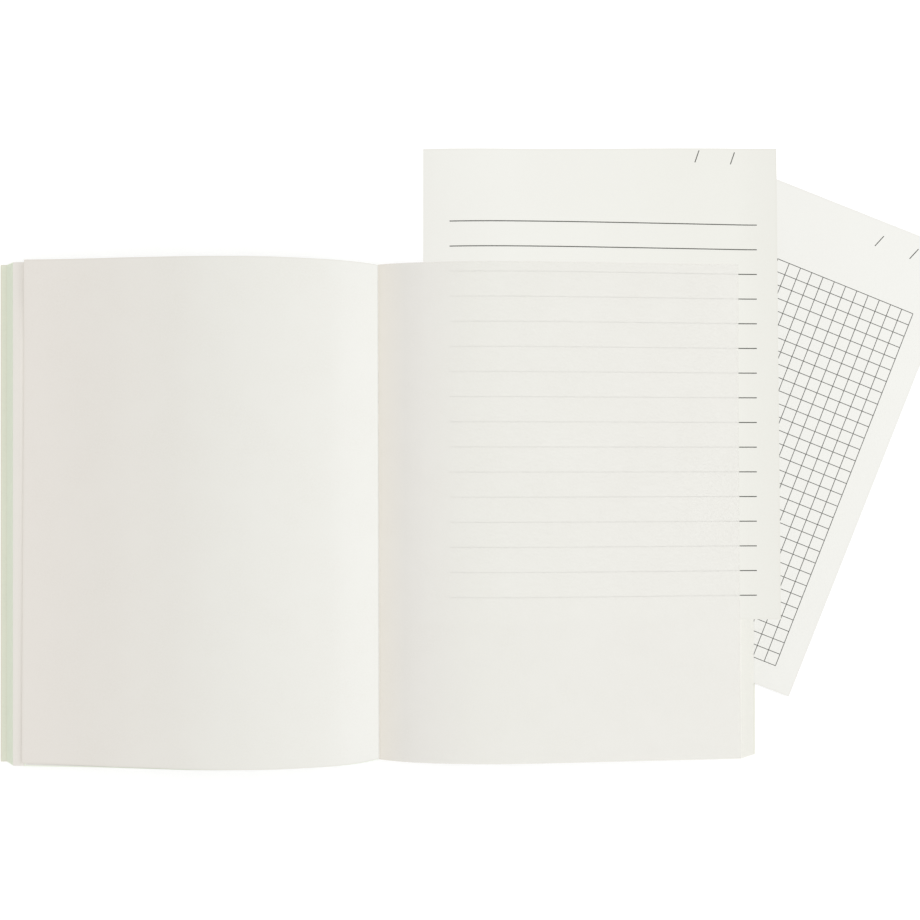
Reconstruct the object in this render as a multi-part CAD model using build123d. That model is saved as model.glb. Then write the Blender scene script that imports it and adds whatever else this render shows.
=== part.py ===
from build123d import *
import os
from dataclasses import dataclass

# A stapled exercise book lying open on a table: folded sheets in a thin card cover,
# held by two wire staples, with two printed guide sheets tucked between the leaves.
# Each folded sheet is two leaves, one in the front half of the book and one in the
# back half. The book is open past its middle, so the back leaves of its innermost
# sheets have been turned over and lie on top of the front half.
# Millimetres. The origin is the middle of the back cover's underside, X runs across
# the open book from left to right, Y runs up the page and Z runs up from the table.

# Paper and card
PAGE_HEIGHT = 200.0  # trimmed height of the leaves and the cover
LEAF_WIDTH = 153.7  # outermost leaf, from the fold to its fore-edge
PAPER = 0.1  # thickness of a leaf
CARD = 0.3  # thickness of the cover
SHEETS = 20  # folded sheets in the book
TURNED = 4  # back leaves that lie turned over on the left
COVER_OVERHANG = 1.0  # cover past the outermost leaf
LEFT_PULL = 3.0  # front cover drawn in by the roll of the fold
LEAF_PULL = 1.8  # and the front leaves, which roll tighter, drawn in further
TURNED_PULL = 4.6  # further draw of the turned leaves, which lie over the arch
LEFT_CREEP = 0.214  # each front leaf falls short of the one below it
RIGHT_CREEP = 0.44  # each back leaf falls short of the one below it
TAIL = 0.4  # straight end of the shortest leaf on either side

# Arch of the leaves left of the fold: distances from the fold, and the air between
# neighbouring leaves there
FOLD_AIR = 0.05
LEFT_SHOULDER = 20.0
LEFT_SHOULDER_AIR = 0.512
LEFT_CROWN = 54.5
LEFT_CROWN_AIR = 0.67
LEFT_DIP = 80.0
LEFT_DIP_AIR = 0.587
LEFT_EDGE_AIR = 0.233

# Arch of the leaves right of the fold, which is lower
RIGHT_SHOULDER = 17.0
RIGHT_SHOULDER_AIR = 0.416
RIGHT_CROWN = 52.0
RIGHT_CROWN_AIR = 0.6
RIGHT_DIP = 81.0
RIGHT_DIP_AIR = 0.555
RIGHT_EDGE_AIR = 0.333

# Staples
WIRE = 0.5  # width of the flattened wire
WIRE_FLAT = 0.4  # and its thickness
STAPLE_CROWN = 12.0  # straight back of a staple, outside the cover
STAPLE_SPACING = 100.0  # between the middles of the two staples
STAPLE_BEND = 0.6  # bend radius at the middle of the wire
CLINCH = 4.4  # leg folded over inside the innermost sheet
WIRE_FIT = 0.05  # room for the wire in the fold
COVER_GAP = 0.05  # half the parting of the two cover halves at the fold

# Guide sheets
GUIDE = 0.12  # thickness
GUIDE_CLEAR = 0.24  # room above and below the guide at the cover
GUIDE_ROOM = 1  # leaf steps left free on either side of a guide or a loose top leaf
RULED_WIDTH = 144.2
RULED_HEIGHT = 189.8
RULED_INSET = 18.6  # from the fold to the ruled guide's near edge
RULED_OUT = 46.0  # how far it stands out above the page
GRID_WIDTH = 114.0
GRID_HEIGHT = 195.5
GRID_TURN = 21.6  # degrees clockwise
GRID_X = 151.9  # middle of the grid guide, right of the fold
GRID_Y = 35.3  # and above the middle of the page

# Sizes that follow from these
BACK_REACH = LEAF_WIDTH + COVER_OVERHANG
FRONT_REACH = BACK_REACH - LEFT_PULL
FOLD_X = -BACK_REACH / 2
FOLD_GAP = WIRE / 2 + WIRE_FIT
LEFT_LEAVES = SHEETS + TURNED
RIGHT_LEAVES = SHEETS - TURNED
LEFT_STEPS = LEFT_LEAVES - 1 + GUIDE_ROOM
RULED_STEP = RIGHT_LEAVES - 1 + GUIDE_ROOM
RIGHT_STEPS = RULED_STEP + 1 + GUIDE_ROOM
LOWEST = CARD + GUIDE_CLEAR + GUIDE + GUIDE_CLEAR
FOLD_HEIGHT = LOWEST + max(LEFT_STEPS, RIGHT_STEPS) * (PAPER + FOLD_AIR)


@dataclass
class Arch:
    """How the leaves of one side arch: distances from the fold, with the air between
    neighbouring leaves at each of them. The side is -1 on the left and 1 on the right."""

    side: int
    steps: int
    shortest: float
    shoulder: float
    shoulder_air: float
    crown: float
    crown_air: float
    dip: float
    dip_air: float
    edge_air: float


def front_reach(place):
    """Fore-edge of the left leaf in this place of the stack, counted from the cover."""
    drawn_in = LEFT_PULL + LEAF_PULL + LEFT_CREEP * place
    if place >= SHEETS:
        drawn_in += TURNED_PULL
    return LEAF_WIDTH - drawn_in


def back_reach(place):
    """Fore-edge of the right leaf in this place of the stack, counted from the cover."""
    return LEAF_WIDTH - RIGHT_CREEP * place


left_arch = Arch(
    side=-1,
    steps=LEFT_STEPS,
    shortest=front_reach(LEFT_LEAVES - 1),
    shoulder=LEFT_SHOULDER,
    shoulder_air=LEFT_SHOULDER_AIR,
    crown=LEFT_CROWN,
    crown_air=LEFT_CROWN_AIR,
    dip=LEFT_DIP,
    dip_air=LEFT_DIP_AIR,
    edge_air=LEFT_EDGE_AIR,
)
right_arch = Arch(
    side=1,
    steps=RIGHT_STEPS,
    shortest=back_reach(RIGHT_LEAVES - 1),
    shoulder=RIGHT_SHOULDER,
    shoulder_air=RIGHT_SHOULDER_AIR,
    crown=RIGHT_CROWN,
    crown_air=RIGHT_CROWN_AIR,
    dip=RIGHT_DIP,
    dip_air=RIGHT_DIP_AIR,
    edge_air=RIGHT_EDGE_AIR,
)


def arch_points(arch, step):
    """Points of a leaf's underside, so many leaf steps above the lowest leaf. Every leaf
    of a side has them at the same distances, each above the leaf below it."""
    pitches = [
        (FOLD_GAP, (FOLD_HEIGHT - LOWEST) / arch.steps),
        (arch.shoulder, PAPER + arch.shoulder_air),
        (arch.crown, PAPER + arch.crown_air),
        (arch.dip, PAPER + arch.dip_air),
        (arch.shortest - TAIL, PAPER + arch.edge_air),
    ]
    return [Vector(arch.side * distance, LOWEST + step * pitch) for distance, pitch in pitches]


def arch_line(arch, step, reach):
    """Underside of a leaf in section, level at the crown: arcs down to the fold on one side
    and towards the fore-edge on the other, and straight on to the edge. The lowest leaf
    lies flat."""
    fold, shoulder, crown, dip, edge = arch_points(arch, step)
    fore_edge_x = arch.side * reach
    if step == 0:
        return [Line(fold, Vector(fore_edge_x, fold.Y))]
    outward = Vector(arch.side, 0)
    rise = TangentArc(crown, shoulder, tangent=-outward)
    root = TangentArc(shoulder, fold, tangent=rise % 1)
    fall = TangentArc(crown, dip, tangent=outward)
    run = TangentArc(dip, edge, tangent=fall % 1)
    slope = run % 1
    tip = edge + slope * ((fore_edge_x - edge.X) / slope.X)
    return [root, rise, fall, run, Line(edge, tip)]


def arched_sheet(arch, step, reach, thickness, height):
    """A sheet from the fold to its fore-edge: its arch, as thick as the paper, drawn in
    section and carried up the height of the sheet."""
    under = arch_line(arch, step, reach)
    over = [Pos(0, thickness) * line for line in under]
    fold = arch_points(arch, step)[0]
    tip = under[-1] @ 1
    lift = Vector(0, thickness)
    section = make_face([*under, *over, Line(fold, fold + lift), Line(tip, tip + lift)])
    return extrude(Plane.XZ * section, amount=height / 2, both=True)


def cover_half(side, reach):
    """One half of the card cover, flat on the table, notched at the fold where the
    staples' crowns are pressed into the card."""
    width = reach - COVER_GAP
    card = Box(width, PAGE_HEIGHT, CARD, align=(Align.MIN, Align.CENTER, Align.MIN))
    half = Pos(COVER_GAP, 0, 0) * card
    notch_length = STAPLE_CROWN + WIRE + 2 * WIRE_FIT
    for end in (-1, 1):
        notch = Box(2 * FOLD_GAP, notch_length, 2 * CARD)
        half -= Pos(0, end * STAPLE_SPACING / 2, 0) * notch
    if side < 0:
        half = mirror(half, about=Plane.YZ)
    return half


def staple(middle):
    """A wire staple: its crown in the cover, its legs up through the folds of all the
    sheets, and their ends folded towards each other inside the innermost sheet."""
    low = WIRE_FLAT / 2
    fold_pitch = (FOLD_HEIGHT - LOWEST) / LEFT_STEPS
    high = LOWEST + fold_pitch * (SHEETS - 1) + PAPER
    half = STAPLE_CROWN / 2
    corners = [
        (0, middle - half + CLINCH, high),
        (0, middle - half, high),
        (0, middle - half, low),
        (0, middle + half, low),
        (0, middle + half, high),
        (0, middle + half - CLINCH, high),
    ]
    path = FilletPolyline(*corners, radius=STAPLE_BEND)
    wire_end = Plane(origin=path @ 0, x_dir=(1, 0, 0), z_dir=path % 0)
    return sweep(wire_end * Rectangle(WIRE, WIRE_FLAT), path=path)


def ruled_guide():
    """The ruled guide lies on the right leaves, under the top one, and takes their arch."""
    reach = RULED_INSET + RULED_WIDTH
    sheet = arched_sheet(right_arch, RULED_STEP, reach, GUIDE, RULED_HEIGHT)
    near_edge = Plane(origin=(RULED_INSET, 0, 0), z_dir=(1, 0, 0))
    sheet = split(sheet, bisect_by=near_edge, keep=Keep.TOP)
    return Pos(0, PAGE_HEIGHT / 2 + RULED_OUT - RULED_HEIGHT / 2, 0) * sheet


def grid_guide():
    """The grid guide lies flat on the back cover, turned, under all the right leaves."""
    sheet = Box(GRID_WIDTH, GRID_HEIGHT, GUIDE)
    return Pos(GRID_X, GRID_Y, CARD + GUIDE_CLEAR + GUIDE / 2) * Rot(0, 0, -GRID_TURN) * sheet


pieces = {}

# Left of the fold: the front leaves from the cover up, then the turned back leaves
left_names = [f"front_leaf_{sheet:02d}" for sheet in range(1, SHEETS + 1)]
left_names += [f"back_leaf_{sheet:02d}" for sheet in range(SHEETS, SHEETS - TURNED, -1)]
for place, name in enumerate(left_names):
    step = LEFT_STEPS if place == LEFT_LEAVES - 1 else place
    pieces[name] = arched_sheet(left_arch, step, front_reach(place), PAPER, PAGE_HEIGHT)

# Right of the fold: the other back leaves, with the ruled guide under the top one
right_names = [f"back_leaf_{sheet:02d}" for sheet in range(1, RIGHT_LEAVES + 1)]
for place, name in enumerate(right_names):
    step = RIGHT_STEPS if place == RIGHT_LEAVES - 1 else place
    pieces[name] = arched_sheet(right_arch, step, back_reach(place), PAPER, PAGE_HEIGHT)

pieces["front_cover"] = cover_half(-1, FRONT_REACH)
pieces["back_cover"] = cover_half(1, BACK_REACH)
pieces["upper_staple"] = staple(STAPLE_SPACING / 2)
pieces["lower_staple"] = staple(-STAPLE_SPACING / 2)
pieces["ruled_guide_sheet"] = ruled_guide()
pieces["grid_guide_sheet"] = grid_guide()

os.makedirs("parts", exist_ok=True)
for name, piece in pieces.items():
    placed = Pos(FOLD_X, 0, 0) * piece
    export_step(placed, f"parts/{name}.step")
print(len(pieces), "pieces, fold at", round(FOLD_X, 2), "and top leaves' fold at", round(FOLD_HEIGHT, 3))
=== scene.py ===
# %% [markdown]
# A stapled exercise book lies open on a pale table: blank cream leaves arch up on either side of the
# fold, and two printed guide sheets are tucked between them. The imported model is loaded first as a
# fixed frame, because every piece made here has to sit where its solid sits and move with its body.

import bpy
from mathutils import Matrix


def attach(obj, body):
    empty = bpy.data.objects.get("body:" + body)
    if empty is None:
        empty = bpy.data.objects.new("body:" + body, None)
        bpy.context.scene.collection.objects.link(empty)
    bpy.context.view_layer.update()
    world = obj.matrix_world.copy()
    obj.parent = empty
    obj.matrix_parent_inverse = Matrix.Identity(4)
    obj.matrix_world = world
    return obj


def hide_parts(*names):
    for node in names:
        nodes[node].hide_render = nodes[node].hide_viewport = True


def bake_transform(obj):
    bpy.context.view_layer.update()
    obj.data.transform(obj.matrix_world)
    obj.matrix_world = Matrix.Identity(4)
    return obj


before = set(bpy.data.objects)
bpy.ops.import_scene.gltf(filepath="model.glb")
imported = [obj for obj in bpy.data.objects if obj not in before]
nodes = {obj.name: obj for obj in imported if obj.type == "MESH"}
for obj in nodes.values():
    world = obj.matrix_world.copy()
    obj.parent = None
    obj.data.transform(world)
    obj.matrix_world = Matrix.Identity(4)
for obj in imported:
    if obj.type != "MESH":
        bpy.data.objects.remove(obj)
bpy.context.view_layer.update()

# %% [markdown]
# Paper is thin beside a page, so the book is measured in millimetres, from the fold outwards and from
# the middle of the page up and down. Every point becomes metres from the origin in one place, when its
# mesh is made, which keeps the formulas short.

# %% Tools and the book's own measures
import math

import bpy
import numpy as np
from mathutils import Matrix, Vector

MM = 0.001  # the book is measured in millimetres and Blender counts metres
FOLD_X = -77.35  # the fold, left of the origin, which is the middle of the back cover
HALF_PAGE = 100.0  # half the height of a page
LOWEST = 0.9  # underside of the lowest leaf, above the table
PAPER = 0.1  # thickness of a leaf
CARD = 0.3  # and of the cover

# %% [markdown]
# Paper that lies open next to a fold rises steeply, rounds over and sinks gently to its fore-edge.
# A spline could be drawn for every leaf, but each leaf lies on the one below, so it is simpler to
# say how far apart neighbouring leaves are at a few distances from the fold, and to run smooth arcs
# through those heights. Leaf number 24 is then the lowest leaf plus 24 of these steps everywhere,
# and no two leaves can cross.

# %% The arch of the leaves
# Distances from the fold, and the step from one leaf to the next at each of them
LEFT_ARCH = ((0.3, 0.15), (20.0, 0.612), (54.5, 0.77), (80.0, 0.687), (138.98, 0.333))
RIGHT_ARCH = ((0.3, 0.2), (17.0, 0.516), (52.0, 0.70), (81.0, 0.655), (146.7, 0.433))


def arc(start, along, end, share):
    """Points of the circle that leaves start in the direction along and passes through end. With f
    the angle from along to the chord, the point at a share s is the direction along, turned by
    s*f, times the chord's length, times sin(s*f)/sin(f)."""
    chord = end - start
    length = np.hypot(*chord)
    turn = math.atan2(along[0] * chord[1] - along[1] * chord[0], along @ chord)
    reach = share if abs(turn) < 1e-6 else np.sin(share * turn) / math.sin(turn)
    angle = math.atan2(along[1], along[0]) + share * turn
    points = start + length * reach[:, None] * np.stack([np.cos(angle), np.sin(angle)], 1)
    last = math.atan2(along[1], along[0]) + 2 * turn
    return points, np.array([math.cos(last), math.sin(last)])


def arch_height(arch, step, distance):
    """Height of a leaf's underside so many steps up, at these distances from the fold: four arcs,
    level at the crown, then straight on with the slope that the last one ends in."""
    fold, shoulder, crown, dip, edge = [np.array([d, LOWEST + step * pitch]) for d, pitch in arch]
    share = np.linspace(0, 1, 120)
    beyond = 40  # as far as any sheet stands out past its arch
    rise, slope = arc(crown, np.array([-1.0, 0.0]), shoulder, share)
    root, _ = arc(shoulder, slope, fold, share)
    fall, slope = arc(crown, np.array([1.0, 0.0]), dip, share)
    run, slope = arc(dip, slope, edge, share)
    line = np.concatenate([root[::-1], rise[::-1], fall, run, [run[-1] + slope * beyond]])
    return np.interp(distance, line[:, 0], line[:, 1])


for side_name, arch, step in (("left", LEFT_ARCH, 24), ("right", RIGHT_ARCH, 18)):
    crown_height = arch_height(arch, step, np.array([arch[2][0]]))
    print(side_name, "crown", crown_height.round(2), "mm above the table")

# %% [markdown]
# A leaf is a surface with a thickness too small to see, but a single layer of faces would have no
# underside and no cut edge. Every sheet here is therefore a closed skin: a grid of points for its
# upper face, the same grid again for its lower face, and a strip round the rim that joins them.
# Working on whole arrays makes the 40 leaves in a moment.

# %% Closed sheets from two grids
def closed_sheets(name, over, under, page=None):
    """Object of thin closed sheets. Over and under are (sheets, columns, rows, 3) grids in
    millimetres from the fold: the two faces, columns running across the page and rows up it. Page,
    when given, is a (sheets, columns, rows, 2) grid that becomes the map of places on the page."""
    sheets, columns, rows = over.shape[:3]
    one_face = sheets * columns * rows
    points = np.concatenate([over.reshape(-1, 3), under.reshape(-1, 3)])
    points[:, 0] += FOLD_X
    index = np.arange(one_face).reshape(sheets, columns, rows)
    corners = [index[:, :-1, :-1], index[:, 1:, :-1], index[:, 1:, 1:], index[:, :-1, 1:]]
    upper = np.stack(corners, -1).reshape(-1, 4)
    lower = upper[:, ::-1] + one_face
    way_round = [index[:, :, 0], index[:, -1, 1:], index[:, -2::-1, -1], index[:, 0, -2:0:-1]]
    rim = np.concatenate(way_round, 1)
    after = np.roll(rim, -1, 1)
    edge = np.stack([rim + one_face, after + one_face, after, rim], -1).reshape(-1, 4)
    faces = np.concatenate([upper, lower, edge])
    mesh = bpy.data.meshes.new(name)
    mesh.from_pydata((points * MM).tolist(), [], faces.tolist())
    mesh.polygons.foreach_set("use_smooth", np.ones(len(faces), bool))
    mesh.set_sharp_from_angle(angle=math.radians(35))
    if page is not None:
        places = np.concatenate([page.reshape(-1, 2)] * 2)[faces.reshape(-1)]
        mesh.uv_layers.new(name="page").data.foreach_set("uv", places.reshape(-1).astype(np.float32))
    piece = bpy.data.objects.new(name, mesh)
    bpy.context.scene.collection.objects.link(piece)
    return piece


def lifted(surface, thickness):
    """The same grid, higher by the thickness."""
    return surface + np.array([0.0, 0.0, thickness])


print("a leaf of 59 by 25 points has", 2 * 58 * 24 + 2 * (58 + 24), "faces")

# %% [markdown]
# Uncoated paper is never one flat colour: felted fibres make a fine tooth, and the pulp settles in
# soft clouds that show against the light. Both are noise at two sizes. The leaves, the guide sheets
# and the card cover all need them, so they are built once as a node group that gives out plain
# values, and each material decides what to do with them.

# %% Fibres and clouds as a node group
def socket_into(group, name, kind, way, value=None):
    """A named socket on the group's own interface, with its starting value."""
    made = group.interface.new_socket(name=name, in_out=way, socket_type=kind)
    if value is not None:
        made.default_value = value
    return made


pulp = bpy.data.node_groups.new("paper_pulp", "ShaderNodeTree")
socket_into(pulp, "Place", "NodeSocketVector", "INPUT")
socket_into(pulp, "Fibres per metre", "NodeSocketFloat", "INPUT", 1500.0)
socket_into(pulp, "Clouds per metre", "NodeSocketFloat", "INPUT", 60.0)
socket_into(pulp, "Fibre", "NodeSocketFloat", "OUTPUT")
socket_into(pulp, "Cloud", "NodeSocketFloat", "OUTPUT")
entry = pulp.nodes.new("NodeGroupInput")
leaving = pulp.nodes.new("NodeGroupOutput")
for output, count, detail in (("Fibre", "Fibres per metre", 3.0), ("Cloud", "Clouds per metre", 2.0)):
    noise = pulp.nodes.new("ShaderNodeTexNoise")
    noise.inputs["Detail"].default_value = detail
    noise.inputs["Roughness"].default_value = 0.62
    pulp.links.new(entry.outputs["Place"], noise.inputs["Vector"])
    pulp.links.new(entry.outputs[count], noise.inputs["Scale"])
    pulp.links.new(noise.outputs["Fac"], leaving.inputs[output])
print("paper_pulp gives", [item.name for item in pulp.interface.items_tree if item.in_out == "OUTPUT"])

# %% [markdown]
# A sheet's cut edges get a tone of their own: darker on the other sheets, and paler on the two fans of
# stacked edges, where the paler tone is painted light that makes up for the shade between the edges.
# The page map, which every sheet carries, holds the distance to the fore-edge and the place up the page
# in decimetres, so a narrow band along the edges can be tinted without knowing which sheet it is. The
# edge tint is a second group.

# %% Edge band as a node group
edges = bpy.data.node_groups.new("edge_band", "ShaderNodeTree")
socket_into(edges, "Page", "NodeSocketVector", "INPUT")
socket_into(edges, "Band", "NodeSocketFloat", "INPUT", 0.01)
socket_into(edges, "Edge", "NodeSocketFloat", "OUTPUT")
entry = edges.nodes.new("NodeGroupInput")
leaving = edges.nodes.new("NodeGroupOutput")
parts = edges.nodes.new("ShaderNodeSeparateXYZ")
near_head = edges.nodes.new("ShaderNodeMath")
near_head.operation = "ABSOLUTE"
from_head = edges.nodes.new("ShaderNodeMath")
from_head.operation = "SUBTRACT"
from_head.inputs[0].default_value = HALF_PAGE / 100
nearest = edges.nodes.new("ShaderNodeMath")
nearest.operation = "MINIMUM"
band = edges.nodes.new("ShaderNodeMapRange")
band.interpolation_type = "SMOOTHSTEP"
band.inputs["To Min"].default_value = 1.0
band.inputs["To Max"].default_value = 0.0
edges.links.new(entry.outputs["Page"], parts.inputs[0])
edges.links.new(parts.outputs["Y"], near_head.inputs[0])
edges.links.new(near_head.outputs[0], from_head.inputs[1])
edges.links.new(parts.outputs["X"], nearest.inputs[0])
edges.links.new(from_head.outputs[0], nearest.inputs[1])
edges.links.new(nearest.outputs[0], band.inputs["Value"])
edges.links.new(entry.outputs["Band"], band.inputs["From Max"])
edges.links.new(band.outputs["Result"], leaving.inputs["Edge"])
print("edge_band takes", [item.name for item in edges.interface.items_tree if item.in_out == "INPUT"])

# %% [markdown]
# Every finish below is a shader with a few nodes in front of it. Four small helpers save repeating
# them: one starts a material, one puts the pulp group into it, one mixes two tones by a share that
# changes over the surface, and one takes a value from one span to another.

# %% Helpers for finishes
def new_finish(name):
    """A new material, with its node tree, its shader and the socket that gives places on the piece."""
    material = bpy.data.materials.new(name)
    material.use_nodes = True
    tree = material.node_tree
    place = tree.nodes.new("ShaderNodeTexCoord")
    return material, tree, tree.nodes["Principled BSDF"], place.outputs["Object"]


def pulp_in(tree, place, fibres=1500.0, clouds=60.0):
    """The fibres and clouds of the pulp group, so many to the metre."""
    grain = tree.nodes.new("ShaderNodeGroup")
    grain.node_tree = pulp
    grain.inputs["Fibres per metre"].default_value = fibres
    grain.inputs["Clouds per metre"].default_value = clouds
    tree.links.new(place, grain.inputs["Place"])
    return grain.outputs["Fibre"], grain.outputs["Cloud"]


def blend_tones(tree, share, first, second):
    """Colour mixed from two tones by a share that changes over the surface. A tone is a colour, or
    the socket that already holds one."""
    mix = tree.nodes.new("ShaderNodeMix")
    mix.data_type = "RGBA"
    tree.links.new(share, mix.inputs["Factor"])
    for name, tone in (("A", first), ("B", second)):
        colour = [s for s in mix.inputs if s.name == name and s.type == "RGBA"][0]
        if isinstance(tone, bpy.types.NodeSocket):
            tree.links.new(tone, colour)
        else:
            colour.default_value = (*tone, 1.0)
    return [s for s in mix.outputs if s.type == "RGBA"][0]


def spread(tree, value, low, high, source=(0.3, 0.7)):
    """The value, taken from its usual span to the span from low to high."""
    fit = tree.nodes.new("ShaderNodeMapRange")
    fit.inputs["From Min"].default_value = source[0]
    fit.inputs["From Max"].default_value = source[1]
    fit.inputs["To Min"].default_value = low
    fit.inputs["To Max"].default_value = high
    tree.links.new(value, fit.inputs["Value"])
    return fit.outputs["Result"]


print("helpers:", new_finish.__name__, pulp_in.__name__, blend_tones.__name__, spread.__name__)

# %% [markdown]
# One recipe makes every sheet's finish: two close tones mixed by the clouds, a third along the edges,
# a roughness that wavers with the fibres, and a faint tooth in the normal. The tones may also change
# with the distance from the fore-edge, and that change is painted light and shade: paler where the fold
# or a leaf above shades the paper, darker where a slope faces the window, and warmer where it faces
# away. A thin leaf also lets a share of what lies beneath show, which is the shader's Alpha.

# %% The finish of paper and card
def paper_finish(name, pale, deep, edge, band=0.012, fibres=1500.0, clouds=60.0, tooth=0.04,
                 solid=None, inner=()):
    """Material of a sheet: pale and deep tones in soft clouds, an edge tone in a narrow band, and a
    tooth whose depth is in millimetres. Each inner tone takes over from the pale one between two
    distances from the fore-edge, in decimetres, and the others change in step. Solid, when given, is
    how little shows through at the fore-edge and from a decimetre inwards."""
    material, tree, shader, place = new_finish(name)
    fibre, cloud = pulp_in(tree, place, fibres, clouds)
    page = tree.nodes.new("ShaderNodeUVMap")
    page.uv_map = "page"
    rim = tree.nodes.new("ShaderNodeGroup")
    rim.node_tree = edges
    rim.inputs["Band"].default_value = band
    tree.links.new(page.outputs["UV"], rim.inputs["Page"])
    parts = tree.nodes.new("ShaderNodeSeparateXYZ")
    tree.links.new(page.outputs["UV"], parts.inputs[0])
    inwards = parts.outputs["X"]

    outer = [np.array(tone) for tone in (pale, deep, edge)]
    tones = outer
    for tone, span in inner:
        share = spread(tree, inwards, 0.0, 1.0, span)
        steps = [np.array(tone) * old / outer[0] for old in outer]
        tones = [blend_tones(tree, share, old, new) for old, new in zip(tones, steps)]
    pale, deep, edge = tones
    flecked = blend_tones(tree, spread(tree, fibre, 0.0, 1.0), deep, pale)
    clouded = blend_tones(tree, spread(tree, cloud, 0.0, 0.75), flecked, pale)
    edged = blend_tones(tree, rim.outputs["Edge"], clouded, edge)
    tree.links.new(edged, shader.inputs["Base Color"])
    tree.links.new(spread(tree, fibre, 0.78, 0.95), shader.inputs["Roughness"])

    bump = tree.nodes.new("ShaderNodeBump")
    bump.inputs["Strength"].default_value = 0.35
    bump.inputs["Distance"].default_value = tooth * MM
    tree.links.new(fibre, bump.inputs["Height"])
    tree.links.new(bump.outputs["Normal"], shader.inputs["Normal"])
    shader.inputs["Specular IOR Level"].default_value = 0.15
    if solid:
        tree.links.new(spread(tree, inwards, *solid, (0.0, 1.0)), shader.inputs["Alpha"])
    return material


print("a finish reads the page map and", len(pulp.nodes) + len(edges.nodes), "nodes in two groups")

# %% [markdown]
# Seven papers and a card come from the recipe. Leaves of one make share a pale and a deep tone, and
# differ in painted light and shade: the edges of both fans are painted paler against the shade between
# them, and greenish on the left; the margin, the strip that the top leaf leaves bare, is painted paler,
# most of all where the top leaf's shadow falls; and the ruled guide is painted darker where it stands
# out and faces the window.

# %% The papers and the card
LEAF_TONES = (0.815, 0.803, 0.768), (0.79, 0.775, 0.735)  # pale and deep
# Left fan: the edge tone is green-tinted, and so pale that it is painted light against the shade between the
# stacked edges
leaf_paper = paper_finish("leaf_paper", *LEAF_TONES, (0.893, 0.953, 0.825), band=0.007)
# Right fan: the edge tone is painted paler, as light against the shade between the stacked edges
fan_paper = paper_finish("fan_paper", *LEAF_TONES, (0.91, 0.90, 0.848), band=0.007)
# The margin is painted paler than the other leaves, and paler still just beside the top leaf's edge: painted
# light over the shade and shadow of the leaves above it
margin_paper = paper_finish(
    "margin_paper", (0.838, 0.806, 0.765), (0.818, 0.786, 0.745), (0.828, 0.80, 0.765),
    inner=[((0.907, 0.877, 0.83), (0.026, 0.038))],
)
# Painted shade across the top left leaf: warmer towards the fore-edge, which faces away from the window, and
# a little darker near the fold, which faces it
top_leaf_paper = paper_finish(
    "top_leaf_paper", (0.824, 0.791, 0.753), (0.799, 0.763, 0.72), (0.80, 0.765, 0.722),
    inner=[((0.824, 0.817, 0.78), (0.02, 0.8)), ((0.814, 0.806, 0.774), (1.15, 1.35))],
)
# Painted light: paler across the middle of the page and much paler in the last centimetre by the fold,
# against the shade of the gutter
loose_leaf_paper = paper_finish(
    "loose_leaf_paper", *LEAF_TONES, (0.80, 0.785, 0.745), solid=(0.62, 0.67),
    inner=[((0.832, 0.825, 0.787), (0.4, 1.05)), ((0.822, 0.808, 0.78), (1.1, 1.3)),
           ((0.912, 0.876, 0.813), (1.36, 1.475))],
)
guide_paper = paper_finish(
    "guide_paper", (0.855, 0.85, 0.82), (0.84, 0.833, 0.80), (0.835, 0.825, 0.79),
    fibres=1800.0, tooth=0.03,
)
# Painted shade and light: darker along the strip that stands out to the right and faces the window, growing
# paler from 35 mm in from its right edge towards the fold
painted_shading_guide_paper = paper_finish(
    "painted_shading_guide_paper", (0.829, 0.824, 0.781), (0.815, 0.807, 0.762), (0.81, 0.80, 0.752),
    fibres=1800.0, tooth=0.03, inner=[((0.889, 0.887, 0.853), (0.35, 1.4))],
)
cover_card = paper_finish(
    "cover_card", (0.87, 0.90, 0.772), (0.83, 0.866, 0.737), (0.80, 0.79, 0.69),
    band=0.008, fibres=900.0, clouds=90.0, tooth=0.08,
)
print("finishes:", [m.name for m in bpy.data.materials if m.name.endswith(("paper", "card"))])

# %% [markdown]
# Three things are needed for every sheet: a smooth step, from which most of the bends and slips are
# made, the map of places on the page, and a step that bakes a piece's placing into its mesh. The pieces
# that cross the fold get only that step, and are tied to no body.


def smooth_step(value, low, high):
    """0 below low, 1 above high and a smooth rise between: t*t*(3 - 2*t)."""
    t = np.clip((value - low) / (high - low), 0, 1)
    return t * t * (3 - 2 * t)


def page_map(fore_edge, up):
    """Places on the page in decimetres: the distance from the fore-edge, and the height up the page."""
    return np.stack(np.broadcast_arrays(fore_edge, up), -1) / 100


def at_fold(piece):
    """Bakes the piece's placing into its mesh and leaves its object at the origin; it is tied to no body."""
    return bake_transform(piece)


# %% [markdown]
# The cover is one folded card under everything, and all that shows of it is a narrow margin at the
# far left. It could be two flat plates, but the card has to bend round the spine when the front half
# is lifted, so it is one surface with its columns crowded at the fold. Over each staple's crown the
# card is pressed in, which is a smooth bump in the height of the grid.

# %% The card cover
FRONT_REACH = 151.7  # from the fold to the cover's left edge
BACK_REACH = 155.1  # and to its right edge
STAPLES = (-50.0, 50.0)
CROWN_ROOM = 6.35  # half the length of a staple's crown, with a little air
PRESSED_IN = 0.42
PACKET_SLIP = -0.65  # the cover and the outer sheets have slipped this far towards the foot

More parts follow.
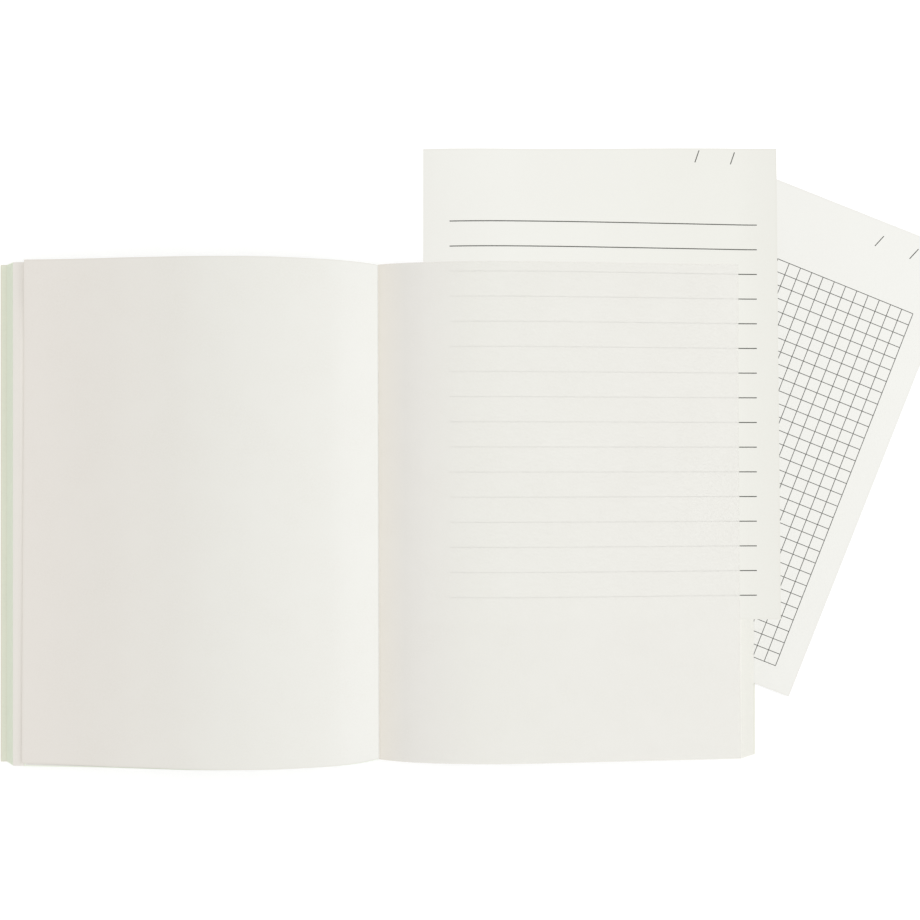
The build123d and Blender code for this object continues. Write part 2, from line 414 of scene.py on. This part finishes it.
near_fold = np.concatenate([np.linspace(0.0, 0.6, 7), np.geomspace(0.9, 12, 10)])
left_columns = np.concatenate([near_fold, np.linspace(20, FRONT_REACH, 14)])
right_columns = np.concatenate([near_fold[1:], np.linspace(20, BACK_REACH, 14)])
card_x = np.concatenate([-left_columns[::-1], right_columns])[:, None]
card_y = np.unique(np.concatenate([
    np.linspace(-HALF_PAGE, HALF_PAGE, 21) + PACKET_SLIP,
    *[middle + side * np.linspace(CROWN_ROOM - 0.4, CROWN_ROOM + 0.8, 7)
      for middle in STAPLES for side in (-1, 1)],
]))[None]
pressed = sum(1 - smooth_step(np.abs(card_y - middle), CROWN_ROOM, CROWN_ROOM + 0.6) for middle in STAPLES)
pressed = PRESSED_IN * pressed * (1 - smooth_step(np.abs(card_x), 0.3, 0.9))
card_under = np.stack(np.broadcast_arrays(card_x, card_y, pressed), -1)
card_edge = np.where(card_x < 0, FRONT_REACH + card_x, BACK_REACH - card_x)
cover = closed_sheets("card_cover", lifted(card_under, CARD)[None], card_under[None],
                      page_map(card_edge, card_y - PACKET_SLIP)[None])
cover.data.materials.append(cover_card)
at_fold(cover)
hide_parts("front_cover", "back_cover")
print("cover:", len(cover.data.polygons), "faces, pressed in by", round(float(pressed.max()), 2), "mm")

# %% [markdown]
# Leaves now follow from the arch. Their distances from the fold are crowded at the steep root, and a
# slow wave, a few thousandths of the height, keeps them from looking rolled out by a machine. It is
# the same wave for all, scaled by the height above the table, so the leaves still can't cross. A book
# that is leafed through also creeps: the packet slips along the fold and its edges fall into a slant.

# %% A leaf's surface
UP = np.linspace(-HALF_PAGE, HALF_PAGE, 25)
PACKET_UP = UP + PACKET_SLIP
PACKET_TOP = 19  # the highest leaf on the left that was not turned over
ROOT = 0.3  # where a folded sheet's leaves start, from the fold
WAVE = 0.007  # the paper's swelling, as a share of the height
SETTLED = 0.107  # step between turned leaves that lie on each other
FOLD_HOLD = 0.35  # the staples keep the packet's slip this much smaller at the fold
LEFT_LOWEST, LEFT_CREEP = 148.9, 0.232  # the lowest leaf's fore-edge, and how much shorter each next one is
RIGHT_LOWEST, RIGHT_CREEP = 154.5, 0.497
TURNED_PULL = 4.25  # leaves turned over to the left are pulled in by this much more


def from_fold(nearest, reach):
    """Distances from the fold at which a leaf has points: close at the root, then even."""
    return np.concatenate([np.geomspace(nearest, 12, 15), np.linspace(15, reach, 44)])


def paper_wave(distance, up):
    """Slow swelling of handled paper, about 1: two sines across each other, none at the fold."""
    swell = np.sin(distance / 33 + up / 58 + 0.6) * np.sin(up / 41 + 1.1)
    swell = swell + 0.5 * np.sin(up / 23 + distance / 70)
    return 1 + WAVE * swell * smooth_step(distance, 0, 25)


def leaf_surface(side, step, distance, up):
    """Grid of a leaf's underside, so many steps up on the left (-1) or right (1) side: across by the
    distances, up by the heights on the page, and high by the arch times the paper's wave. Leaves
    turned over to the left settle onto the packet below towards their fore-edge."""
    arch = LEFT_ARCH if side < 0 else RIGHT_ARCH
    rise = arch_height(arch, step, distance) - LOWEST
    if side < 0 and step > PACKET_TOP:
        packet = arch_height(arch, PACKET_TOP, distance) - LOWEST
        settled = packet + SETTLED * min(step - PACKET_TOP, 4)
        rise += (settled - rise) * smooth_step(distance, 95, 139)
    high = LOWEST + rise[:, None] * paper_wave(distance[:, None], up[None])
    return np.stack(np.broadcast_arrays(side * distance[:, None], up[None], high), -1)


def packet_leaf(side, place, distance):
    """A leaf of the packet, slipped towards the foot but held back at the fold. The hold fades in a
    smooth step: soon on the right, and on the left, where it first grows by 0.1 mm, near the
    fore-edge."""
    grid = leaf_surface(side, place, distance, PACKET_UP)
    if side < 0:
        grown = FOLD_HOLD + 0.1 * smooth_step(distance, 0, 20)
        hold = grown * (1 - smooth_step(distance, 100, 138))
    else:
        hold = FOLD_HOLD * (1 - smooth_step(distance, 5, 60))
    grid[..., 1] += hold[:, None]
    return grid


def left_reach(place):
    """Fore-edge of a left leaf: each falls short of the one below, the turned ones by more."""
    return LEFT_LOWEST - LEFT_CREEP * place - (TURNED_PULL if place > PACKET_TOP else 0.0)


def right_reach(place):
    """Fore-edge of a right leaf, each short of the one below."""
    return RIGHT_LOWEST - RIGHT_CREEP * place


print("top leaves reach", left_reach(23), "mm to the left and", right_reach(15), "mm to the right")

# %% [markdown]
# The outer fifteen sheets run through the fold in one piece, from the fore-edge on the left to the
# one on the right, as real folded sheets do. Two separate leaves would open a slit at the spine when
# the front half is lifted, so each sheet bends across the fold instead.

# %% Sheets that lie open across the fold
OPEN_SHEETS = 15
for number in range(1, OPEN_SHEETS + 1):
    place = number - 1
    left = from_fold(ROOT, left_reach(place))
    right = from_fold(ROOT, right_reach(place))
    under = np.concatenate([packet_leaf(-1, place, left)[::-1], packet_leaf(1, place, right)])
    fore_edge = np.concatenate([left_reach(place) - left[::-1], right_reach(place) - right])
    sheet = closed_sheets(f"sheet_{number:02d}", lifted(under, PAPER)[None], under[None],
                          page_map(fore_edge[:, None], UP[None])[None])
    sheet.data.materials.append(leaf_paper)
    sheet.data.materials.append(fan_paper)
    middles = np.empty(len(sheet.data.polygons) * 3, np.float32)
    sheet.data.polygons.foreach_get("center", middles)
    sheet.data.polygons.foreach_set("material_index", (middles[::3] > FOLD_X * MM).astype(np.int32))
    at_fold(sheet)
    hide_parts(f"front_leaf_{number:02d}", f"back_leaf_{number:02d}")
print("open sheets:", OPEN_SHEETS, "of", len(sheet.data.polygons), "faces each")

# %% [markdown]
# Sheets 18 to 20 are folded shut: both of their leaves lie on the left, one inside the other, with a
# tight turn at the fold. One path goes in along the front leaf, round the turn and out along the back
# leaf, and the paper's thickness is laid inside it. The fronts of sheets 16 and 17 end at the fold,
# because their other halves are the two loose top leaves.

# %% Sheets folded over to the left
TURN_REACH = 0.2  # how far the turn stands out towards the fold


def turned_sheet(front_place, back_place):
    """The two faces of a sheet folded shut, and its page map. The outer face is the front leaf's
    underside, half an ellipse round the fold, and the back leaf's upper side; the inner face lies
    one paper thickness inside it."""
    front = from_fold(ROOT, left_reach(front_place))
    back = from_fold(ROOT, left_reach(back_place))
    lower = packet_leaf(-1, front_place, front)[::-1]
    upper = packet_leaf(-1, back_place, back)
    bottom, top = lower[-1, :, 2], upper[0, :, 2] + PAPER
    angle = np.linspace(-np.pi / 2, np.pi / 2, 9)[1:-1, None]
    half = (top - bottom)[None] / 2

    def turn(skin):
        """Half an ellipse round the fold, so far inside the outer face."""
        x = -ROOT + (TURN_REACH - skin) * np.cos(angle)
        z = bottom + half + (half - skin) * np.sin(angle)
        return np.stack(np.broadcast_arrays(x, PACKET_UP[None], z), -1)

    under = np.concatenate([lower, turn(0.0), lifted(upper, PAPER)])
    over = np.concatenate([lifted(lower, PAPER), turn(PAPER), upper])
    far = np.full(len(angle), 100.0)  # the turn is far from the fore-edge
    fore_edge = np.concatenate([left_reach(front_place) - front[::-1], far, left_reach(back_place) - back])
    return over, under, page_map(fore_edge[:, None], UP[None])


for number, back_place in ((18, 22), (19, 21), (20, 20)):
    over, under, places = turned_sheet(number - 1, back_place)
    sheet = closed_sheets(f"sheet_{number:02d}", over[None], under[None], places[None])
    sheet.data.materials.append(margin_paper if number == 20 else leaf_paper)
    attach(sheet, "front_half")
    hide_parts(f"front_leaf_{number:02d}", f"back_leaf_{number:02d}")
for number in (16, 17):
    distance = from_fold(0.12, left_reach(number - 1))
    under = packet_leaf(-1, number - 1, distance)[::-1]
    places = page_map((left_reach(number - 1) - distance[::-1])[:, None], UP[None])
    leaf = closed_sheets(f"sheet_{number:02d}_front", lifted(under, PAPER)[None], under[None], places[None])
    leaf.data.materials.append(leaf_paper)
    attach(leaf, "front_half")
    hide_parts(f"front_leaf_{number:02d}")
print("folded sheets of", len(sheet.data.polygons), "faces, and two front leaves")

# %% [markdown]
# The two top leaves meet in the gutter, and what the eye takes for the fold is the narrow dark line
# where they dip against each other. Their free corners lift a little, as the corners of a page that
# has been turned do. Thin paper also lets what lies beneath show faintly: the right-hand leaf is
# slightly see-through, so the guide's lines are the guide's own, and move with it. Print could be
# painted on the leaf instead, but then it would stay behind when the leaf is turned.

# %% The two top leaves
CORNER_UP, CORNER_ACROSS = 62, 35  # a corner lifts above this height, and this far from the fore-edge
LEAN = 0.3, -0.0025  # how far the fold leans to the right, and the change for each mm up the page


def loose_leaf(name, side, step, reach, slip, trim, lift, finish, body, node):
    """A top leaf: the arch, less a dip at the fold (0.1 mm on the right, 0.03 mm on the left) that fades
    as exp(-(d/0.5)^2), plus the lift of its free corners at foot and head, each the product of two
    smooth steps. It has slipped a little along the fold, whose lean fades as exp(-(d/6)^2). The trim
    draws the fore-edge in, by so much and so much per mm of height, the outer end of the foot up, and
    the head down beside the fold."""
    drawn_in, slant, foot_up, head_down = trim
    distance = from_fold(0.03, reach)
    column = distance[:, None]
    under = leaf_surface(side, step, distance, UP + slip)
    dip = (0.1 if side > 0 else 0.03) * np.exp(-((column / 0.5) ** 2))
    ends = smooth_step(-UP, CORNER_UP, HALF_PAGE) * lift[0] + smooth_step(UP, CORNER_UP, HALF_PAGE) * lift[1]
    under[..., 2] += smooth_step(column, reach - CORNER_ACROSS, reach) * ends - dip
    under[..., 0] += np.exp(-((column / 6) ** 2)) * (LEAN[0] + LEAN[1] * UP)
    under[..., 0] -= side * smooth_step(column, reach - 60, reach) * (drawn_in + slant * UP)
    under[..., 1] += foot_up * smooth_step(column, 40, 90) * smooth_step(-UP, 40, HALF_PAGE)
    under[..., 1] -= head_down * (1 - smooth_step(column, 8, 45)) * smooth_step(UP, 40, HALF_PAGE)
    fore_edge = reach - column
    if side < 0:
        under, fore_edge = under[::-1], fore_edge[::-1]
    leaf = closed_sheets(name, lifted(under, PAPER)[None], under[None], page_map(fore_edge, UP)[None])
    leaf.data.materials.append(finish)
    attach(leaf, body)
    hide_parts(node)
    return leaf


left_leaf = loose_leaf(
    "left_top_leaf", side=-1, step=24, reach=left_reach(23), slip=0.15, trim=(-0.86, 0.0053, 0.4, 0.4),
    lift=(0.0, 0.7), finish=top_leaf_paper, body="left_leaf", node="back_leaf_17",
)
right_leaf = loose_leaf(
    "right_top_leaf", side=1, step=18, reach=right_reach(15), slip=-0.12, trim=(0.78, 0.0062, 0.15, 0.15),
    lift=(0.2, 0.7), finish=loose_leaf_paper, body="right_leaf", node="back_leaf_16",
)
# Light goes on through thin paper, so this leaf keeps none of it from the sheet beneath
right_leaf.visible_shadow = False
right_leaf.visible_diffuse = False
print("top leaves:", len(left_leaf.data.polygons), "faces each")

# %% [markdown]
# The ruled guide lies on the right-hand leaves under the top one, so it takes their arch, and stands
# out above the page and to its right. Nothing carries it there, so it sags a little at the head and
# curls up along its free edge. A cloth simulation could find such a bend, but stiff paper takes so
# simple a one that two terms added to the arch give it, and the print can then follow the same formula.

# %% The ruled guide sheet
GUIDE = 0.12  # thickness of a guide sheet
RULED_LEFT, RULED_RIGHT = 18.25, 162.4
RULED_FOOT, RULED_HEAD = -43.8, 146.0
RULED_STEP = 17.4  # just under the top leaf
SAG, CURL = 1.5, 1.4
CURL_FROM = 146  # across the sheet, where the leaf below ends


def on_ruled_guide(across, up, above):
    """Points so far above the ruled guide's upper face: the arch times the paper's wave, less a sag of
    up to 1.5 mm towards the head, where no leaf carries the sheet, plus a curl that grows as the 1.6th
    power to 1.4 mm along the free edge on the right."""
    rise = arch_height(RIGHT_ARCH, RULED_STEP, across) - LOWEST
    sag = SAG * smooth_step(up, 104, RULED_HEAD) * np.exp(-(((across - 55) / 32) ** 2))
    curl = CURL * (np.clip(across - CURL_FROM, 0, None) / (RULED_RIGHT - CURL_FROM)) ** 1.6
    high = LOWEST + rise * paper_wave(across, up) - sag + curl + GUIDE + above
    return np.stack(np.broadcast_arrays(across, up, high), -1)


ruled_across = np.linspace(RULED_LEFT, RULED_RIGHT, 58)[:, None]
# The sheet is cut a little out of square, at its head and down its right side
ruled_head = RULED_HEAD - 0.95 + 1.95 * smooth_step(ruled_across, 60, 160)
ruled_share = np.linspace(0, 1, 30)[None]
ruled_up = RULED_FOOT + ruled_share * (ruled_head - RULED_FOOT)
ruled_side = (0.37 - 0.0098 * ruled_up) * smooth_step(ruled_across, 100, RULED_RIGHT)
ruled_places = page_map(RULED_RIGHT - ruled_across, (ruled_share - 0.5) * 2 * HALF_PAGE)
ruled_over, ruled_under = [
    on_ruled_guide(ruled_across + ruled_side, ruled_up, above) for above in (0.0, -GUIDE)
]
ruled_guide = closed_sheets("ruled_guide", ruled_over[None], ruled_under[None], ruled_places[None])
# It passes light on as the leaf above it does
ruled_guide.visible_shadow = False
ruled_guide.visible_diffuse = False
ruled_guide.data.materials.append(painted_shading_guide_paper)
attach(ruled_guide, "ruled_guide")
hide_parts("ruled_guide_sheet")
print("ruled guide:", round(RULED_RIGHT - RULED_LEFT, 1), "by", round(RULED_HEAD - RULED_FOOT, 1), "mm")

# %% [markdown]
# The squared guide lies nearly flat on the cover, turned clockwise, under all of the leaves. It could be
# made level and turned as an object, but a finished piece keeps its object at the origin, so the turn
# is part of the formula that lays a point of the sheet down beside the fold.

# %% The squared guide sheet
GRID_WIDTH, GRID_HEIGHT = 114.0, 195.5
GRID_MIDDLE = np.array([151.9, 35.3])  # right of the fold, and up the page
GRID_TURN = math.radians(21.6)
GRID_LOW = 0.54  # underside above the table


def on_squared_guide(across, up, above):
    """Points of the squared guide: across and up on the sheet from its middle, turned clockwise and
    set down beside the fold, and high by a slow ripple of a tenth of a millimetre."""
    x = GRID_MIDDLE[0] + across * math.cos(GRID_TURN) + up * math.sin(GRID_TURN)
    y = GRID_MIDDLE[1] - across * math.sin(GRID_TURN) + up * math.cos(GRID_TURN)
    z = GRID_LOW + above + 0.1 * np.sin(across / 17) * np.sin(up / 29)
    return np.stack(np.broadcast_arrays(x, y, z), -1)


grid_across = np.linspace(-GRID_WIDTH / 2, GRID_WIDTH / 2, 40)[:, None]
grid_up = np.linspace(-GRID_HEIGHT / 2, GRID_HEIGHT / 2, 60)[None]
# This sheet too is cut a little out of square, and larger than its print needs
cut_across = grid_across + (0.89 + 0.0052 * grid_up) * smooth_step(grid_across, 0, GRID_WIDTH / 2)
cut_up = grid_up + (1.33 + 0.0107 * grid_across) * smooth_step(grid_up, 0, GRID_HEIGHT / 2)
cut_up = cut_up - 0.27 * smooth_step(-grid_up, 0, GRID_HEIGHT / 2)
grid_under = on_squared_guide(cut_across, cut_up, 0.0)
grid_places = page_map(GRID_WIDTH / 2 - np.abs(grid_across), grid_up * 200 / GRID_HEIGHT)
squared_guide = closed_sheets(
    "squared_guide", lifted(grid_under, GUIDE)[None], grid_under[None], grid_places[None]
)
squared_guide.data.materials.append(guide_paper)
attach(squared_guide, "grid_guide")
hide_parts("grid_guide_sheet")
print("squared guide:", GRID_WIDTH, "by", GRID_HEIGHT, "mm")

# %% [markdown]
# The guides' lines are print. They could be stripes in the material, but lines a third of a millimetre
# wide stay sharp at any distance only as geometry, so each line is a ribbon of ink a hundredth of a
# millimetre above its sheet, along the same surface. The ink itself is not quite even: fibres break
# it up, and the same pulp group gives it that.

# %% Ink
ink, ink_tree, ink_shader, ink_place = new_finish("guide_ink")
ink_fibre, _ = pulp_in(ink_tree, ink_place, fibres=2500.0)
INK_DARK, INK_WORN = (0.05, 0.05, 0.046), (0.15, 0.15, 0.135)
ink_tone = blend_tones(ink_tree, spread(ink_tree, ink_fibre, 0.0, 1.0), INK_DARK, INK_WORN)
ink_tree.links.new(ink_tone, ink_shader.inputs["Base Color"])
ink_tree.links.new(spread(ink_tree, ink_fibre, 0.6, 0.85), ink_shader.inputs["Roughness"])
ink_shader.inputs["Specular IOR Level"].default_value = 0.2
INK_LOW, INK_HIGH = 0.006, 0.02  # the ribbon's faces above the sheet
print("ink from", INK_LOW, "to", INK_HIGH, "mm above the paper")

# %% [markdown]
# The ruled guide has sixteen lines a centimetre apart, and two slanted strokes for a date at its head.
# A line is a grid only two points wide, so all sixteen are one array and one piece, and the strokes
# are a second one that leans.

# %% The ruled lines and date strokes
RULING = 10.0
RULED_LINE = 0.39  # width of a line
LINES = 16
FIRST_LINE = 116.0  # up the page
LINE_START, LINE_END = 28.8, 153.45  # from the fold
BOTH_SIDES = np.array([-0.5, 0.5])  # a line's edges, in widths from its middle


def slanted_strokes(across, up, half_lean, half_height, points):
    """Grids of strokes through these middles: straight lines that lean to the right going up."""
    lean = np.linspace(-half_lean, half_lean, points)[None, None, :] + np.array(across)[:, None, None]
    high = np.linspace(-half_height, half_height, points)[None, None, :] + np.array(up)[:, None, None]
    return lean + BOTH_SIDES[None, :, None] * RULED_LINE, high


line_up = (FIRST_LINE - RULING * np.arange(LINES))[:, None, None] + BOTH_SIDES * RULED_LINE
line_across = np.broadcast_to(np.linspace(LINE_START, LINE_END, 60)[None, :, None], (LINES, 60, 2))
ruled_lines = closed_sheets("ruled_lines", on_ruled_guide(line_across, line_up, INK_HIGH),
                            on_ruled_guide(line_across, line_up, INK_LOW))
stroke_across, stroke_up = slanted_strokes((128.7, 143.4), (143.3, 142.9), 0.85, 2.45, points=6)
ruled_strokes = closed_sheets("ruled_date_strokes", on_ruled_guide(stroke_across, stroke_up, INK_HIGH),
                              on_ruled_guide(stroke_across, stroke_up, INK_LOW))
for print_piece in (ruled_lines, ruled_strokes):
    print_piece.data.materials.append(ink)
    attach(print_piece, "ruled_guide")
print("ruled lines:", len(line_up), "of", RULED_LINE, "mm")

# %% [markdown]
# The squares are twenty upright and thirty-two level lines. Where two ribbons cross at one height, their
# faces would fight for the same place and flicker, so the level lines stand a few thousandths of a
# millimetre higher.

# %% The squares and date strokes
SQUARE_ACROSS, SQUARE_UP = 5.07, 5.05
GRID_LINE = 0.28  # width of a line
LEVEL_RISE = 0.004
SIDE_MARGIN, FOOT_MARGIN = 8.2, 9.65  # bare paper left of the squares and below them
columns = -GRID_WIDTH / 2 + SIDE_MARGIN + SQUARE_ACROSS * np.arange(20)
rows = -GRID_HEIGHT / 2 + FOOT_MARGIN + SQUARE_UP * np.arange(32)
width = BOTH_SIDES * GRID_LINE
upright_across = columns[:, None, None] + width[None, :, None]
upright_up = np.linspace(rows[0], rows[-1], 64)[None, None, :]
level_across = np.linspace(columns[0], columns[-1], 40)[None, :, None]
level_up = rows[:, None, None] + width[None, None, :]
below_head = np.array([6.54, 6.07])
tick_across, tick_up = slanted_strokes((23.37, 38.84), GRID_HEIGHT / 2 - below_head, 1.0, 2.6, points=4)
for name, across, up, extra in (
    ("squared_upright_lines", upright_across, upright_up, 0.0),
    ("squared_level_lines", level_across, level_up, LEVEL_RISE),
    ("squared_date_strokes", tick_across, tick_up, 0.0),
):
    print_piece = closed_sheets(name, on_squared_guide(across, up, GUIDE + INK_HIGH + extra),
                                on_squared_guide(across, up, GUIDE + INK_LOW))
    print_piece.data.materials.append(ink)
    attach(print_piece, "grid_guide")
print("squares:", len(columns) - 1, "by", len(rows) - 1)

# %% [markdown]
# The staples keep their solids, which already have the flattened wire and its bends. Drawn steel wire
# is streaked along its length and duller where it was clinched, so the finish is a noise stretched
# along the page, which moves both the tone and the roughness.

# %% Staple wire
wire, wire_tree, wire_shader, wire_place = new_finish("staple_wire")
streaks = wire_tree.nodes.new("ShaderNodeMapping")
streaks.inputs["Scale"].default_value = (9000.0, 700.0, 9000.0)
drawn = wire_tree.nodes.new("ShaderNodeTexNoise")
drawn.inputs["Scale"].default_value = 1.0
drawn.inputs["Detail"].default_value = 2.0
wire_tree.links.new(wire_place, streaks.inputs["Vector"])
wire_tree.links.new(streaks.outputs["Vector"], drawn.inputs["Vector"])
streak = drawn.outputs["Fac"]
WIRE_DULL, WIRE_BRIGHT = (0.48, 0.48, 0.47), (0.66, 0.66, 0.65)
wire_tone = blend_tones(wire_tree, spread(wire_tree, streak, 0.0, 1.0), WIRE_DULL, WIRE_BRIGHT)
wire_tree.links.new(wire_tone, wire_shader.inputs["Base Color"])
wire_tree.links.new(spread(wire_tree, streak, 0.28, 0.5), wire_shader.inputs["Roughness"])
wire_shader.inputs["Metallic"].default_value = 1.0
staples = [nodes[name].data for name in ("upper_staple", "lower_staple")]
for mesh in staples:
    mesh.materials.clear()
    mesh.materials.append(wire)
print("staples:", [len(mesh.polygons) for mesh in staples], "faces")

# %% [markdown]
# The table is plain and pale, a sheet that stays white right up to the book, as an overlit studio
# sweep does. A white table would also throw its light up at the leaves' edges, so its own tone is a
# middle grey, and a glow that only the camera sees lifts it to white.

# %% The table
TABLE_HALF = 1500.0  # half its side
TABLE_HEIGHT = -0.1  # just below the cover
TABLE_THICK = 20.0
table_side = np.linspace(-TABLE_HALF, TABLE_HALF, 3)
table_top = np.stack(np.broadcast_arrays(table_side[:, None], table_side[None], TABLE_HEIGHT), -1)
table = closed_sheets("table_top", table_top[None], lifted(table_top, -TABLE_THICK)[None])
white, white_tree, white_shader, white_place = new_finish("table_white")
_, white_cloud = pulp_in(white_tree, white_place)
TABLE_DEEP, TABLE_PALE = (0.49, 0.49, 0.49), (0.51, 0.51, 0.51)
white_tone = blend_tones(white_tree, spread(white_tree, white_cloud, 0.0, 1.0), TABLE_DEEP, TABLE_PALE)
white_tree.links.new(white_tone, white_shader.inputs["Base Color"])
white_shader.inputs["Roughness"].default_value = 0.9
white_shader.inputs["Specular IOR Level"].default_value = 0.1
white_rays = white_tree.nodes.new("ShaderNodeLightPath")
white_tree.links.new(white_rays.outputs["Is Camera Ray"], white_shader.inputs["Emission Color"])
white_shader.inputs["Emission Strength"].default_value = 0.61
table.data.materials.append(white)
print("table:", 2 * TABLE_HALF * MM, "m square")

# %% [markdown]
# The light is a bright even room with a wide, low window to the right: the root of the left-hand page
# faces it and is the brightest paper, and the slopes that face away are warmer and a shade darker. A
# uniform world gives the room, and one large area lamp gives the window.

# %% Light
scene = bpy.context.scene
room = bpy.data.worlds.new("room")
room.use_nodes = True
walls = room.node_tree.nodes["Background"]
walls.inputs["Color"].default_value = (1.0, 0.988, 0.965, 1.0)
walls.inputs["Strength"].default_value = 0.87
room.cycles.sampling_method = "NONE"  # an even room is smoothest when only rebounding light looks for it
scene.world = room
window = bpy.data.objects.new("window", bpy.data.lights.new("window", "AREA"))
window.data.shape = "RECTANGLE"
window.data.size = 1.1
window.data.size_y = 0.7
window.data.energy = 7.9
window.data.color = (0.93, 1.0, 1.05)
window.location = (1.25, 0.1, 0.8)
window.rotation_mode = "QUATERNION"
page_middle = Vector((-0.05, 0.0, 0.0))
window.rotation_quaternion = (page_middle - window.location).to_track_quat("-Z", "Y")
scene.collection.objects.link(window)
scene.view_settings.view_transform = "Standard"
print("window at", [round(v, 2) for v in window.location])

# %% [markdown]
# The camera looks almost straight down from about 45 cm, from a point a little to the right of the
# fold, with the page's height up the picture. It could be aimed by a constraint, but three directions
# at right angles say the same and leave nothing live. The distance comes from the page's own shape: the
# arched crown looks larger than the flat cover, and how much larger fixes how far away the camera is.

# %% Camera
eye = Vector((-0.06022, 0.0208, 0.4497))
aim = Vector((-0.04397, 0.0208, 0.0))
forward = (aim - eye).normalized()
sideways = forward.cross(Vector((0, 1, 0))).normalized()
upward = sideways.cross(forward)
camera = bpy.data.objects.new("camera", bpy.data.cameras.new("camera"))
camera.data.lens = 43.04
camera.data.sensor_width = 36.0
camera.data.clip_start = 0.01
turned = Matrix((sideways, upward, -forward)).transposed()
camera.matrix_world = Matrix.Translation(eye) @ turned.to_4x4()
scene.collection.objects.link(camera)
scene.camera = camera
print("camera", round((aim - eye).length, 3), "m from the page")
